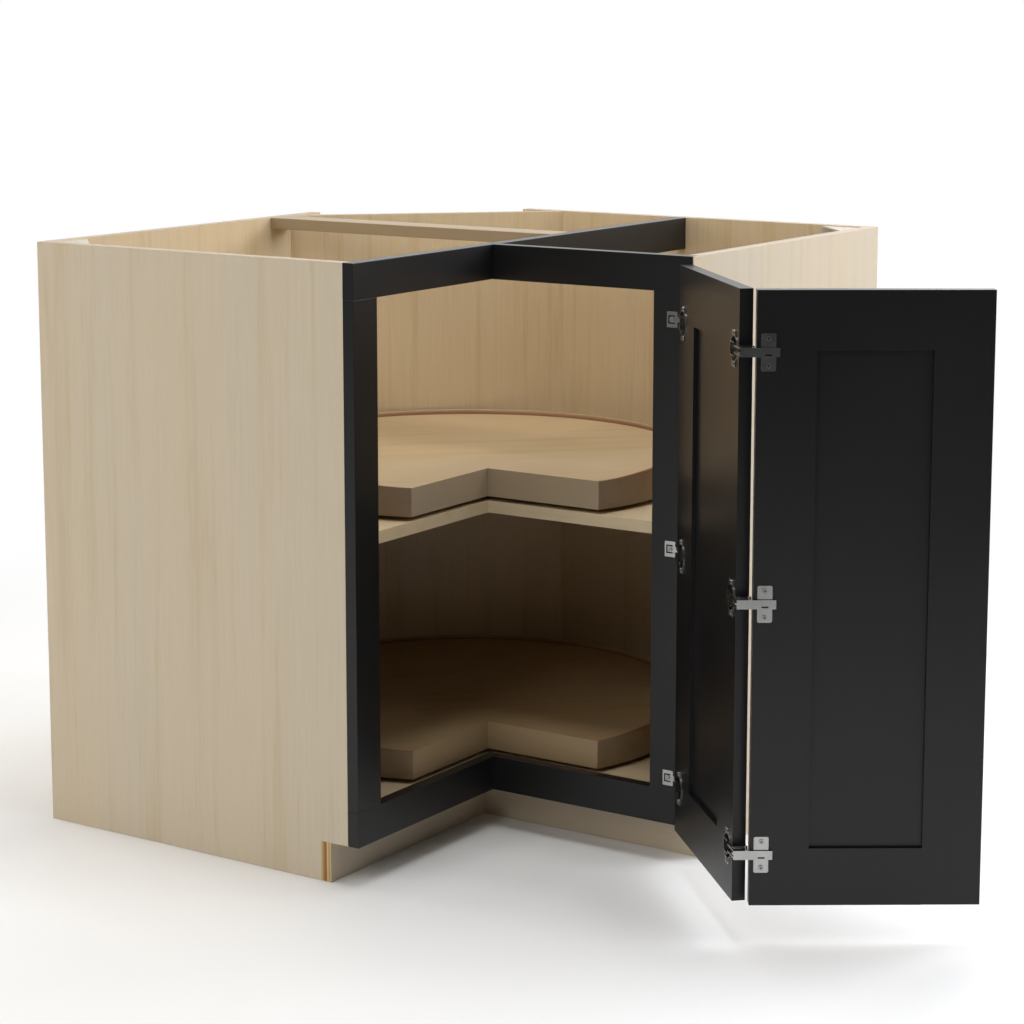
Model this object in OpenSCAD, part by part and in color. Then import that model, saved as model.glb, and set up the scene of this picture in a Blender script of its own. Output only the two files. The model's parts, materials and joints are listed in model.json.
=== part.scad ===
// Base corner cabinet with two turning trays behind a pair of folding doors.
// Origin: the room corner at floor level, where the two walls meet.
// +X runs along the rear wall, -Y runs along the side wall, +Z is up.
// Every right-hand piece is the left-hand one mirrored across the corner's diagonal.

/* [Carcass] */
// Length of the cabinet along each wall
run = 914.4; // [860:0.1:1000]
// Depth from the wall to the front of the face frame
depth = 579.1; // [560:0.1:620]
// Height to the top of the carcass
height = 876.3; // [820:0.1:920]
// Thickness of the end, back, floor and shelf panels
panel_t = 18; // [15:0.5:20]
// Thickness of the panel across the back corner
diagonal_t = 12; // [9:0.5:15]
// Clearance between the trays and the panel across the back corner
tray_room = 5; // [3:0.5:20]
// Length of each back panel that runs on past the diagonal panel
back_lap = 80; // [60:1:100]
// Thickness of the finished skin on the right end
skin_t = 1.6; // [1:0.1:3]

/* [Face frame] */
// Thickness of the face frame
frame_t = 18; // [16:0.5:20]
// Height of the top and bottom rails
rail_h = 50.8; // [40:0.1:60]
// Width of the left stile
left_stile_w = 54; // [45:0.5:62]
// Width of the right stile, which carries the door hinges
right_stile_w = 63.5; // [58:0.5:70]

/* [Toe space] */
// Height of the toe space below the frame
toe_h = 58; // [50:0.5:90]
// Distance of the toe space behind the front edge of an end panel
toe_back = 47.3; // [40:0.1:60]
// Thickness of the toe boards
toe_t = 17; // [12:0.5:20]

/* [Floor and shelf] */
// Drop of the floor below the top of the bottom rail
floor_drop = 5.3; // [2:0.1:8]
// Height of the top of the fixed shelf
shelf_top = 491; // [440:1:540]
// Distance of the shelf's front edge behind the face frame
shelf_back = 9; // [6:0.5:20]
// Width of the flat stretcher under the worktop
stretcher_w = 50.8; // [40:0.1:60]
// Distance between the stretcher and the diagonal panel's seat
stretcher_gap = 0.5; // [0.3:0.1:5]

/* [Trays] */
// Diameter of a tray
tray_d = 685.8; // [660:0.1:690]
// Distance of the trays' pivot from each wall
tray_pivot = 426; // [424:0.5:432]
// Thickness of a tray
tray_t = 42; // [30:0.5:44]
// Distance of the tray's notch behind the face frame
tray_back = 10; // [6:0.5:20]
// Thickness of the band round a tray's curved edge
band_t = 1; // [0.5:0.1:2]

/* [Swivels] */
// Height of a swivel bearing, which is the gap below its tray
swivel_h = 6.5; // [6.3:0.1:8]
// Side of a swivel bearing's square plates
swivel_side = 152; // [140:1:170]
// Thickness of the pressed plates
swivel_plate_t = 1.2; // [1:0.1:1.5]
// Radius of the circle on which the balls run
ball_ring_r = 58; // [50:0.5:62]
// Radius of a bearing ball
ball_r = 1.5; // [1.2:0.1:1.6]
// Clearance between a ball and its grooves
ball_gap = 0.25; // [0.2:0.01:0.3]
// Number of balls in a bearing
ball_count = 24; // [12:1:30]
// Radius of the access hole in the middle of a bearing
swivel_hole_r = 30; // [20:1:40]
// Width of the raised race, from side to side
race_w = 9; // [7:0.5:10]
// Distance of the plates' screws from the pivot, along the diagonal
swivel_screw_r = 94; // [88:1:96]

/* [Doors] */
// Thickness of a door leaf
leaf_t = 18; // [18:0.5:20]
// Distance of the hinged leaf's outer end inside the end of the cabinet
leaf_reveal = 9.8; // [6:0.1:14]
// Height of the underside of the doors
leaf_bottom = 58; // [52:0.5:64]
// Distance of the top of the doors below the top of the carcass
leaf_drop = 10.3; // [4:0.1:20]
// Gap between a shut leaf and the face frame
leaf_gap = 3; // [2.8:0.1:4]
// Gap between a leaf's end and the fold line
fold_gap = 2.5; // [2.4:0.1:4]
// Width of the leaves' own stiles
leaf_stile_w = 77; // [60:0.5:85]
// Width of the leaves' own rails
leaf_rail_w = 77; // [60:0.5:85]
// Thickness of the recessed panels
leaf_panel_t = 6; // [5:0.1:8]
// Depth of the groove that holds a recessed panel
groove_d = 8; // [6:0.5:12]
// Clearance of a panel or tongue in its groove
groove_gap = 0.1; // [0.05:0.01:0.3]

/* [Hinges] */
// Height of the lowest hinges above the underside of the doors
hinge_foot = 69; // [60:1:90]
// Distance of the highest hinges below the top of the doors
hinge_head = 79; // [65:1:100]
// Height of the middle hinges above the mean of the other two
hinge_middle_rise = 4; // [-10:1:20]
// Angle through which the doors stand open
rest_swing = 134.5; // [90:0.5:160]
// Angle by which the pair of leaves is spread from square
rest_spread = 10.4; // [0:0.1:20]
// Distance of the frame hinge's pin outside the end of the leaf
pin_out = 2.6; // [2.6:0.1:3]
// Distance of the frame hinge's pin in front of the leaf's back
pin_in = 8; // [8:0.1:8.5]
// Radius of the frame hinge's pin
pin_r = 1.2; // [1:0.1:1.3]
// Radius of the frame hinge's knuckles
knuckle_r = 2.2; // [2:0.1:2.2]
// Radius of the fold hinge's pin
fold_pin_r = 0.95; // [0.8:0.05:1]
// Radius of the fold hinge's knuckles
fold_knuckle_r = 1.9; // [1.7:0.05:1.9]
// Radial clearance of a pin in a turning knuckle
pin_fit = 0.05; // [0.02:0.01:0.1]
// Thickness of the hinges' sheet metal
sheet_t = 1.2; // [1:0.1:1.2]
// Radius of a hinge cup
cup_r = 17.4; // [17:0.1:17.5]
// Depth of a hinge cup
cup_d = 11.5; // [9:0.5:12]
// Wall of a hinge cup
cup_wall = 1; // [0.8:0.1:1.5]
// Distance of a cup's centre from the end of its leaf
cup_in = 22; // [21:0.5:24]
// Clearance round a cup in its bore
cup_gap = 0.1; // [0.05:0.01:0.3]
// Height of a cup's flange
flange_h = 49; // [46:0.5:54]
// Width of the flange's ears
flange_w = 16; // [12:0.5:20]
// Distance between a cup's two screws
cup_screw_pitch = 40; // [39:0.5:42]
// Height of a hinge's barrel
barrel_h = 22; // [18:0.5:24]
// Height of the fold hinge's barrel, which is also the height of its arm
fold_barrel_h = 12; // [10:0.5:16]
// Gap between neighbouring knuckles
knuckle_gap = 0.3; // [0.2:0.05:0.5]
// Distance from the fold to the near side of the cross plate
cross_plate_in = 5.3; // [4:0.1:8]
// Width of the cross plate
cross_plate_w = 19.4; // [16:0.1:22]
// Height of the cross plate
cross_plate_h = 48.5; // [44:0.5:54]
// Distance from the fold to the foot of the arm
arm_foot = 1.3; // [1.2:0.1:3]
// Distance from the fold to the far end of the arm
arm_reach = 29.5; // [26:0.1:34]
// Thickness of the arm that lies over the cross plate
arm_rise = 2.6; // [2:0.1:3]
// Distance that the arm runs on past its levers
arm_past = 0.5; // [0.3:0.1:1]
// Length of the levers that reach over the other leaf's back
lever_l = 17; // [12:0.5:20]
// Gap between the levers and the cup's flange while the doors stand open
lever_gap = 0.4; // [0.3:0.05:1]
// Thickness of a lever
lever_t = 1.8; // [1.2:0.1:2]
// Height of a lever
lever_h = 1.9; // [1.5:0.1:2.5]
// Distance of a lever from the arm's upper or lower edge
lever_in = 0.5; // [0.3:0.1:0.8]
// Length of the slot in the arm
slot_l = 8; // [6:0.5:10]
// Width of the slots in the arm and the base plates
slot_w = 1.4; // [1:0.1:2]
// Radius of the plates' corners
plate_corner = 2.5; // [1.5:0.1:4]
// Height of the fold hinge's cheeks above the cup's flange
housing_h = 2.2; // [1.5:0.1:3]
// Distance between the cross plate's two screws
cross_screw_pitch = 35; // [30:0.5:38]
// Width of the frame hinge's base plate
base_plate_w = 17; // [14:0.5:20]
// Height of the frame hinge's base plate
base_plate_h = 22.5; // [18:0.5:28]
// Distance of the base plate's near side from the pin
base_plate_in = 17.2; // [15:0.1:22]

/* [Small parts] */
// Radius of a wood screw's shank
screw_r = 1.6; // [1.2:0.1:1.6]
// Radius of a wood screw's head
screw_head_r = 3.4; // [3:0.1:3.6]
// Height of a wood screw's head
screw_head_h = 1.6; // [1:0.1:1.8]
// Length of a wood screw below its head
screw_l = 11; // [8:0.5:12]
// Clearance of a screw in a metal plate
screw_gap = 0.25; // [0.1:0.01:0.4]
// Length of each side of a corner brace
brace_leg = 70; // [50:1:90]
// Height of a corner brace's flanges
brace_h = 20; // [14:0.5:28]
// Wall of a corner brace
brace_wall = 2.5; // [2:0.1:4]
// Drop of a corner brace below the top of the carcass
brace_drop = 1.5; // [1:0.1:6]
// Radius of the worktop screw's hole in a brace
worktop_hole_r = 2.6; // [2:0.1:4]

/* [Hidden] */

// Colours as the finishes look
maple = [0.78, 0.70, 0.57];
maple_warm = [0.72, 0.60, 0.42];
satin_black = [0.05, 0.05, 0.055];
nickel = [0.72, 0.72, 0.73];
steel = [0.55, 0.55, 0.57];
white_plastic = [0.9, 0.9, 0.88];

// Planes of the carcass, as distances from the room corner
frame_back = depth - frame_t;
rail_bottom_top = toe_h + rail_h;
rail_top_under = height - rail_h;
floor_top = rail_bottom_top - floor_drop;
floor_under = floor_top - panel_t;
toe_in = frame_back - toe_back;
toe_out = toe_in + toe_t;
diagonal_step = diagonal_t * sqrt(2);
shelf_front = frame_back - shelf_back;
end_inside = run - panel_t;

// Planes of the shut doors
leaf_back = depth + leaf_gap;
leaf_show = leaf_back + leaf_t;
leaf_in = leaf_show + fold_gap;
leaf_out = run - leaf_reveal;
leaf_top = height - leaf_drop;
hinge_low = leaf_bottom + hinge_foot;
hinge_high = leaf_top - hinge_head;
hinge_z = [hinge_low, (hinge_low + hinge_high) / 2 + hinge_middle_rise, hinge_high];
panel_in = (leaf_t - leaf_panel_t) / 2;
hinge_axis = [leaf_out + pin_out, -(leaf_back + pin_in)];
fold_axis = [leaf_show, -leaf_show];

// Trays and bearings
tray_r = tray_d / 2;
corner_cut = 2 * tray_pivot - panel_t - (tray_r + tray_room) * sqrt(2);
back_stop = corner_cut - back_lap;
tray_notch = frame_back - tray_back;
lower_tray_z = floor_top + swivel_h;
upper_tray_z = shelf_top + swivel_h;
groove_r = ball_r + ball_gap;
race_h = (swivel_h - ball_gap) / 2;
round_fn = 120;
small_fn = 32;
eps = 0.01;

// ---------- shared forms ----------

// The right-hand twin of a left-hand piece
module right_hand() {
  mirror([1, 1, 0]) children();
}

// A box given by its two corners
module block(low, high) {
  translate(low) cube(high - low);
}

// A board cut to an outline in X and Z, lying from y0 to y0 + t
module side_board(outline, y0, t) {
  translate([0, y0 + t, 0]) rotate([90, 0, 0]) linear_extrude(t) polygon(outline);
}

// Outline of an end panel with its toe space, up to a front edge at x
function end_outline(x) = [
  [0, 0], [toe_in, 0], [toe_in, toe_h], [x, toe_h], [x, height], [0, height]
];

// Outline of the floor or shelf, with its front edges a given distance from the walls
function deck_outline(front) = [
  [panel_t, -end_inside], [front, -end_inside], [front, -front], [end_inside, -front],
  [end_inside, -panel_t], [corner_cut, -panel_t], [panel_t, -corner_cut]
];

// A wood screw: the head sits on z = 0 and the shank goes down
module wood_screw(length = screw_l) {
  translate([0, 0, -length]) cylinder(h = length, r = screw_r, $fn = small_fn);
  difference() {
    cylinder(h = screw_head_h, r = screw_head_r, $fn = small_fn);
    for (turn = [0, 90]) rotate([0, 0, turn]) translate([-screw_head_r * 0.55, -0.4, screw_head_h - 0.8])
      cube([screw_head_r * 1.1, 0.8, 1]);
  }
}

// The hole that such a screw fills
module screw_hole(length = screw_l, gap = 0) {
  translate([0, 0, -length]) cylinder(h = length + 2 * screw_head_h, r = screw_r + gap, $fn = small_fn);
}

// ---------- carcass ----------

module left_end_panel() {
  color(maple) difference() {
    side_board(end_outline(frame_back), -run, panel_t);
    at_brace_screws() screw_hole();
  }
}

module right_end_panel() {
  color(maple) right_hand() difference() {
    side_board(end_outline(frame_back), skin_t - run, panel_t - skin_t);
    at_brace_screws() screw_hole();
  }
}

module right_end_skin() {
  color(maple) right_hand() side_board(end_outline(depth), -run, skin_t);
}

module back_panel() {
  difference() {
    block([0, -end_inside, 0], [panel_t, -back_stop, height]);
    at_brace_screws() screw_hole();
  }
}

module left_back_panel() {
  color(maple) back_panel();
}

module rear_back_panel() {
  color(maple) right_hand() back_panel();
}

module diagonal_back_panel() {
  outer = corner_cut - diagonal_step;
  color(maple) linear_extrude(height) polygon([
    [panel_t, -corner_cut], [corner_cut, -panel_t], [outer, -panel_t], [panel_t, -outer]
  ]);
}

module bottom_panel() {
  color(maple_warm) difference() {
    translate([0, 0, floor_under]) linear_extrude(panel_t) polygon(deck_outline(frame_back));
    translate([0, 0, floor_top]) swivel_holes(swivel_plate_t);
  }
}

module middle_shelf() {
  color(maple_warm) difference() {
    translate([0, 0, shelf_top - panel_t]) linear_extrude(panel_t) polygon(deck_outline(shelf_front));
    translate([0, 0, shelf_top]) swivel_holes(swivel_plate_t);
  }
}

// A toe board stands in front of the end panel and under its notch, and rises to the floor
module toe_board(inner_end) {
  outline = [
    [-run, 0], [inner_end, 0], [inner_end, floor_under],
    [-end_inside, floor_under], [-end_inside, toe_h], [-run, toe_h]
  ];
  translate([toe_in, 0, 0]) rotate([90, 0, 90]) linear_extrude(toe_t) polygon(outline);
}

module left_toe_board() {
  color(maple) toe_board(-toe_in);
}

module right_toe_board() {
  color(maple) right_hand() toe_board(-toe_out);
}

module cross_stretcher() {
  back = -(corner_cut + stretcher_gap);
  color(maple) block([panel_t, back - stretcher_w, height - panel_t], [frame_back, back, height]);
}

// ---------- face frame ----------

// A frame member on the left frame, from y0 to y1 and from z0 to z1
module frame_member(y0, y1, z0, z1) {
  block([frame_back, y0, z0], [depth, y1, z1]);
}

module left_stile() {
  color(satin_black) frame_member(-run, left_stile_w - run, rail_bottom_top, rail_top_under);
}

module right_stile() {
  color(satin_black) difference() {
    right_hand() frame_member(skin_t - run, right_stile_w - run, rail_bottom_top, rail_top_under);
    for (z = hinge_z) at_base_screws(z) screw_hole();
  }
}

// One long board: the left frame's top rail, which runs on to the rear wall
module long_top_rail() {
  color(satin_black) frame_member(-run, -panel_t, rail_top_under, height);
}

module right_top_rail() {
  color(satin_black) right_hand() frame_member(skin_t - run, -depth, rail_top_under, height);
}

module left_bottom_rail() {
  color(satin_black) frame_member(-run, -frame_back, toe_h, rail_bottom_top);
}

module right_bottom_rail() {
  color(satin_black) right_hand() frame_member(skin_t - run, -depth, toe_h, rail_bottom_top);
}

// ---------- corner braces ----------

// Places a brace's screws: one through each flange
module at_brace_screws() {
  middle = brace_leg * 0.55;
  z = height - brace_drop - brace_h * 0.6;
  translate([panel_t + brace_wall, -end_inside + middle, z]) rotate([0, 90, 0]) children();
  translate([panel_t + middle, -end_inside + brace_wall, z]) rotate([-90, 0, 0]) children();
}

module corner_brace() {
  top = height - brace_drop;
  difference() {
    translate([panel_t, -end_inside, 0]) union() {
      translate([0, 0, top - brace_wall]) linear_extrude(brace_wall)
        polygon([[0, 0], [brace_leg, 0], [0, brace_leg]]);
      block([0, 0, top - brace_h], [brace_wall, brace_leg, top - brace_wall]);
      block([0, 0, top - brace_h], [brace_leg, brace_wall, top - brace_wall]);
    }
    translate([panel_t + brace_leg * 0.32, -end_inside + brace_leg * 0.32, top - brace_h])
      cylinder(h = 2 * brace_h, r = worktop_hole_r, $fn = small_fn);
    at_brace_screws() screw_hole(gap = screw_gap);
  }
}

module corner_braces() {
  color(white_plastic) corner_brace();
  color(white_plastic) right_hand() corner_brace();
}

module brace_screws() {
  color(steel) at_brace_screws() wood_screw();
  color(steel) right_hand() at_brace_screws() wood_screw();
}

// ---------- doors ----------

// Carries a shut hinged leaf to where it stands open
module swung() {
  translate([hinge_axis[0], hinge_axis[1], 0]) rotate([0, 0, rest_swing])
    translate([-hinge_axis[0], -hinge_axis[1], 0]) children();
}

// Carries a shut folding leaf to where it stands, spread from its twin
module spread() {
  swung() translate([fold_axis[0], fold_axis[1], 0]) rotate([0, 0, -rest_spread])
    translate([-fold_axis[0], -fold_axis[1], 0]) children();
}

// A leaf's members are drawn shut on the right frame: X along the leaf, show face towards -Y
module leaf_stile(x0, groove_x) {
  difference() {
    block([x0, -leaf_show, leaf_bottom], [x0 + leaf_stile_w, -leaf_back, leaf_top]);
    block([groove_x, -leaf_show + panel_in - groove_gap, leaf_bottom - 1],
          [groove_x + groove_d, -leaf_back - panel_in + groove_gap, leaf_top + 1]);
  }
}

// A rail with a tongue at each end that fills the stiles' grooves
module leaf_rail(z0, groove_z) {
  x0 = leaf_in + leaf_stile_w;
  x1 = leaf_out - leaf_stile_w;
  difference() {
    union() {
      block([x0, -leaf_show, z0], [x1, -leaf_back, z0 + leaf_rail_w]);
      block([x0 - groove_d + groove_gap, -leaf_show + panel_in, z0],
            [x1 + groove_d - groove_gap, -leaf_back - panel_in, z0 + leaf_rail_w]);
    }
    block([x0 - groove_d - 1, -leaf_show + panel_in - groove_gap, groove_z],
          [x1 + groove_d + 1, -leaf_back - panel_in + groove_gap, groove_z + groove_d]);
  }
}

module leaf_outer_stile() {
  leaf_stile(leaf_out - leaf_stile_w, leaf_out - leaf_stile_w);
}

module leaf_inner_stile() {
  leaf_stile(leaf_in, leaf_in + leaf_stile_w - groove_d);
}

module leaf_top_rail() {
  leaf_rail(leaf_top - leaf_rail_w, leaf_top - leaf_rail_w);
}

module leaf_bottom_rail() {
  leaf_rail(leaf_bottom, leaf_bottom + leaf_rail_w - groove_d);
}

module leaf_panel() {
  reach = groove_d - groove_gap;
  block([leaf_in + leaf_stile_w - reach, -leaf_show + panel_in, leaf_bottom + leaf_rail_w - reach],
        [leaf_out - leaf_stile_w + reach, -leaf_back - panel_in, leaf_top - leaf_rail_w + reach]);
}

module hinged_leaf_outer_stile() {
  color(satin_black) swung() difference() {
    leaf_outer_stile();
    at_frame_cups() cup_bore();
  }
}

module hinged_leaf_inner_stile() {
  color(satin_black) swung() difference() {
    leaf_inner_stile();
    at_fold_cups() cup_bore();
  }
}

module hinged_leaf_top_rail() {
  color(satin_black) swung() leaf_top_rail();
}

module hinged_leaf_bottom_rail() {
  color(satin_black) swung() leaf_bottom_rail();
}

module hinged_leaf_panel() {
  color(satin_black) swung() leaf_panel();
}

module folding_leaf_outer_stile() {
  color(satin_black) spread() right_hand() leaf_outer_stile();
}

module folding_leaf_inner_stile() {
  color(satin_black) spread() right_hand() difference() {
    leaf_inner_stile();
    at_cross_plates() at_cross_screws() screw_hole();
  }
}

module folding_leaf_top_rail() {
  color(satin_black) spread() right_hand() leaf_top_rail();
}

module folding_leaf_bottom_rail() {
  color(satin_black) spread() right_hand() leaf_bottom_rail();
}

module folding_leaf_panel() {
  color(satin_black) spread() right_hand() leaf_panel();
}

// ---------- hinges ----------
// A hinge half is drawn with its origin on the leaf's back face, at the leaf's end:
// +X runs into the leaf, +Y stands off its back, and Z is the middle of the hinge.

// The hinge side of the hinged leaf
module at_frame_cups() {
  for (z = hinge_z) translate([leaf_out, -leaf_back, z]) mirror([1, 0, 0]) children();
}

// The fold side of the hinged leaf
module at_fold_cups() {
  for (z = hinge_z) translate([leaf_in, -leaf_back, z]) children();
}

// The fold side of the folding leaf, drawn before it is mirrored
module at_cross_plates() {
  for (z = hinge_z) translate([leaf_in, -leaf_back, z]) children();
}

// A disc or bore that lies in the leaf's face, from y0 to y1
module face_disc(r, y0, y1, fn = round_fn) {
  translate([0, y1, 0]) rotate([90, 0, 0]) cylinder(h = y1 - y0, r = r, $fn = fn);
}

// Screws that stand on a plate of the given height
module at_pitch(x, pitch, y) {
  for (side = [-1, 1]) translate([x, y, side * pitch / 2]) rotate([-90, 0, 0]) children();
}

module at_cup_screws() {
  at_pitch(cup_in, cup_screw_pitch, sheet_t) children();
}

module at_cross_screws() {
  at_pitch(cross_plate_in + cross_plate_w / 2, cross_screw_pitch, sheet_t) children();
}

// The bore and screw holes that a cup needs in its leaf
module cup_bore() {
  translate([cup_in, 0, 0]) face_disc(cup_r + cup_gap, -cup_d - cup_gap, 1);
  at_cup_screws() screw_hole();
}

// A plate with round corners, x0 to x1 and z0 to z1, standing from y0 to y1
module corner_plate(low, high, r) {
  block([low[0] + r, low[1], low[2]], [high[0] - r, high[1], high[2]]);
  block([low[0], low[1], low[2] + r], [high[0], high[1], high[2] - r]);
  for (x = [low[0] + r, high[0] - r], z = [low[2] + r, high[2] - r])
    translate([x, 0, z]) face_disc(r, low[1], high[1], small_fn);
}

// The pressed cup with its flange and ears, and cheeks that rise above the flange
module cup(rise) {
  difference() {
    union() {
      translate([cup_in, 0, 0]) face_disc(cup_r, -cup_d, sheet_t);
      corner_plate([cup_in - flange_w / 2, 0, -flange_h / 2],
                   [cup_in + flange_w / 2, sheet_t, flange_h / 2], plate_corner);
    }
    translate([cup_in, 0, 0]) face_disc(cup_r - cup_wall, -cup_d + cup_wall, sheet_t + 1);
    at_cup_screws() screw_hole(gap = screw_gap);
  }
  for (side = [-1, 1]) cup_cheek(side, rise);
}

// One of the two cheeks that stand in the cup and carry its levers
module cup_cheek(side, rise) {
  reach = cup_r / 2;
  z = side * reach;
  block([cup_in - reach, -cup_d + cup_wall / 2, z - sheet_t / 2],
        [cup_in + reach, sheet_t + rise, z + sheet_t / 2]);
}

// Knuckles on an upright pin at the origin, one at each level [z0, z1] of the list
module knuckles(levels, r, bore) {
  for (l = levels) translate([0, 0, l[0]]) difference() {
    cylinder(h = l[1] - l[0], r = r, $fn = small_fn);
    translate([0, 0, -1]) cylinder(h = l[1] - l[0] + 2, r = bore, $fn = small_fn);
  }
}

// The levels of a barrel's outer pair of knuckles, and of its middle one
function outer_levels(h) = [[-h / 2, -h / 6 - knuckle_gap], [h / 6 + knuckle_gap, h / 2]];
function middle_levels(h) = [[-h / 6, h / 6]];

// A strap of sheet metal that goes from the back of the leaf round its end to a barrel.
// pin is the barrel's centre, and the strap keeps to the barrel's own levels.
module wrap_strap(pin, levels, r, bore, from) {
  for (l = levels) difference() {
    union() {
      block([-sheet_t, 0, l[0]], [from, sheet_t, l[1]]);
      block([-sheet_t, pin[1], l[0]], [0, sheet_t, l[1]]);
      translate([pin[0], pin[1], l[0]]) cylinder(h = l[1] - l[0], r = r, $fn = small_fn);
    }
    translate([pin[0], pin[1], l[0] - 1]) cylinder(h = l[1] - l[0] + 2, r = bore, $fn = small_fn);
  }
}

// The frame hinge's half on the hinged leaf
module frame_hinge_cups() {
  pin = [-pin_out, -pin_in];
  color(nickel) swung() at_frame_cups() {
    union() {
      cup(0);
      difference() {
        wrap_strap(pin, outer_levels(barrel_h), knuckle_r, pin_r, cup_in - cup_r + 2);
        translate([cup_in, 0, 0]) face_disc(cup_r - cup_wall, -1, sheet_t + 1);
      }
    }
  }
}

module frame_hinge_pins() {
  color(steel) swung() for (z = hinge_z) translate([hinge_axis[0], hinge_axis[1], z - barrel_h / 2])
    cylinder(h = barrel_h, r = pin_r, $fn = small_fn);
}

// The fold hinge's half on the hinged leaf
module fold_hinge_cups() {
  pin = [-fold_gap, -leaf_t];
  color(nickel) swung() at_fold_cups() {
    union() {
      cup(housing_h);
      difference() {
        wrap_strap(pin, outer_levels(fold_barrel_h), fold_knuckle_r, fold_pin_r, cup_in - cup_r + 2);
        translate([cup_in, 0, 0]) face_disc(cup_r - cup_wall, -1, sheet_t + 1);
      }
    }
  }
}

module fold_hinge_pins() {
  color(steel) swung() for (z = hinge_z) translate([fold_axis[0], fold_axis[1], z - fold_barrel_h / 2])
    cylinder(h = fold_barrel_h, r = fold_pin_r, $fn = small_fn);
}

module hinge_cup_screws() {
  color(steel) swung() {
    at_frame_cups() at_cup_screws() wood_screw();
    at_fold_cups() at_cup_screws() wood_screw();
  }
}

// Distance from the pin to the outer side of the levers, which stand clear of the cup's
// flange, and how far along that side it lies at height y off the folding leaf's back
lever_off = leaf_t + sheet_t + lever_gap + lever_t;
function along_lever(y) = (leaf_t + y - lever_off * sin(rest_spread)) / cos(rest_spread);

// The cross plate and arm on the folding leaf. The arm bends round the fold to the barrel,
// and runs on past the leaf's end, where two levers reach over the other leaf's back.
module cross_plate() {
  pin = [-fold_gap, -leaf_t];
  h = fold_barrel_h / 2;
  top = sheet_t + arm_rise;
  arm_end = pin[0] - lever_off * cos(rest_spread) + along_lever(sheet_t) * sin(rest_spread) - arm_past;
  slot_x = cross_plate_in + (cross_plate_w - slot_l) / 2;
  difference() {
    union() {
      corner_plate([cross_plate_in, 0, -cross_plate_h / 2],
                   [cross_plate_in + cross_plate_w, sheet_t, cross_plate_h / 2], plate_corner);
      block([arm_foot, 0, -h], [arm_reach, top, h]);
      block([arm_end, sheet_t, -h], [cross_plate_in, top, h]);
    }
    block([slot_x, sheet_t + 1, -h / 2 - slot_w], [slot_x + slot_l, top + 1, -h / 2]);
    at_cross_screws() screw_hole(gap = screw_gap);
  }
  for (side = [-1, 1]) lever(side, h);
  wrap_strap(pin, middle_levels(fold_barrel_h), fold_knuckle_r, fold_pin_r + pin_fit, cross_plate_in);
}

// A lever lies along the hinged leaf's back while the doors stand open, so that shut it
// stands off by the angle of spread. It starts inside the outer end of the arm.
module lever(side, h) {
  z = side > 0 ? h - lever_in - lever_h : lever_in - h;
  translate([-fold_gap, -leaf_t, z]) rotate([0, 0, -rest_spread])
    block([-lever_off, fold_gap - lever_l, 0],
          [lever_t - lever_off, along_lever(sheet_t + arm_rise / 2), lever_h]);
}

module fold_hinge_plates() {
  color(nickel) spread() right_hand() at_cross_plates() cross_plate();
}

module fold_plate_screws() {
  color(steel) spread() right_hand() at_cross_plates() at_cross_screws() wood_screw();
}

// The screw in a base plate, driven into the right stile
module at_base_screws(z) {
  translate([hinge_axis[0] - base_plate_in - base_plate_w / 2, -depth - sheet_t, z])
    rotate([90, 0, 0]) children();
}

// The frame hinge's half on the stile: a base plate, a strap, and the middle knuckle
module frame_hinge_plate(z) {
  x1 = hinge_axis[0] - base_plate_in;
  strap_end = hinge_axis[0] - knuckle_r + sheet_t;
  difference() {
    union() {
      corner_plate([x1 - base_plate_w, -depth - sheet_t, z - base_plate_h / 2],
                   [x1, -depth, z + base_plate_h / 2], plate_corner / 2);
      for (l = middle_levels(barrel_h)) {
        block([x1 - 1, -depth - sheet_t, z + l[0]], [strap_end, -depth, z + l[1]]);
        block([strap_end - sheet_t, hinge_axis[1], z + l[0]], [strap_end, -depth, z + l[1]]);
        translate([hinge_axis[0], hinge_axis[1], z + l[0]])
          cylinder(h = l[1] - l[0], r = knuckle_r, $fn = small_fn);
      }
    }
    translate([hinge_axis[0], hinge_axis[1], z - barrel_h / 2])
      cylinder(h = barrel_h, r = pin_r + pin_fit, $fn = small_fn);
    at_base_screws(z) {
      screw_hole(gap = screw_gap);
      plate_slot();
    }
  }
}

// A slot in the shape of a C, open towards the pin, round the screw's head
module plate_slot() {
  outer = screw_head_r + slot_w + 1;
  inner = outer - slot_w;
  difference() {
    translate([-outer, -outer, -2 * sheet_t]) cube([2 * outer - slot_w, 2 * outer, 4 * sheet_t]);
    translate([-inner, -inner, -3 * sheet_t]) cube([2 * outer, 2 * inner, 6 * sheet_t]);
  }
}

module frame_hinge_plates() {
  color(nickel) for (z = hinge_z) frame_hinge_plate(z);
}

module frame_plate_screws() {
  color(steel) for (z = hinge_z) at_base_screws(z) wood_screw();
}

// ---------- trays ----------

// Carries a piece from the origin to the trays' pivot
module at_pivot(z) {
  translate([tray_pivot, -tray_pivot, z]) children();
}

// A round tray with a square notch for the doors, less what lies beyond radius r
module tray_outline(r) {
  difference() {
    translate([tray_pivot, -tray_pivot]) circle(r = r, $fn = 180);
    translate([tray_notch, -run]) square([run, run - tray_notch]);
  }
}

module tray(z) {
  difference() {
    translate([0, 0, z]) linear_extrude(tray_t) tray_outline(tray_r - band_t);
    at_pivot(z) tray_screw_places() rotate([180, 0, 0]) screw_hole();
  }
}

module tray_band(z) {
  translate([0, 0, z]) linear_extrude(tray_t) difference() {
    tray_outline(tray_r);
    translate([tray_pivot, -tray_pivot]) circle(r = tray_r - band_t, $fn = 180);
  }
}

// Screws of the lower plate lie on the diagonals, and those of the upper plate on the axes
module base_screw_places(z = 0) {
  for (turn = [45:90:315]) rotate([0, 0, turn]) translate([swivel_screw_r, 0, z]) children();
}

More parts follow.
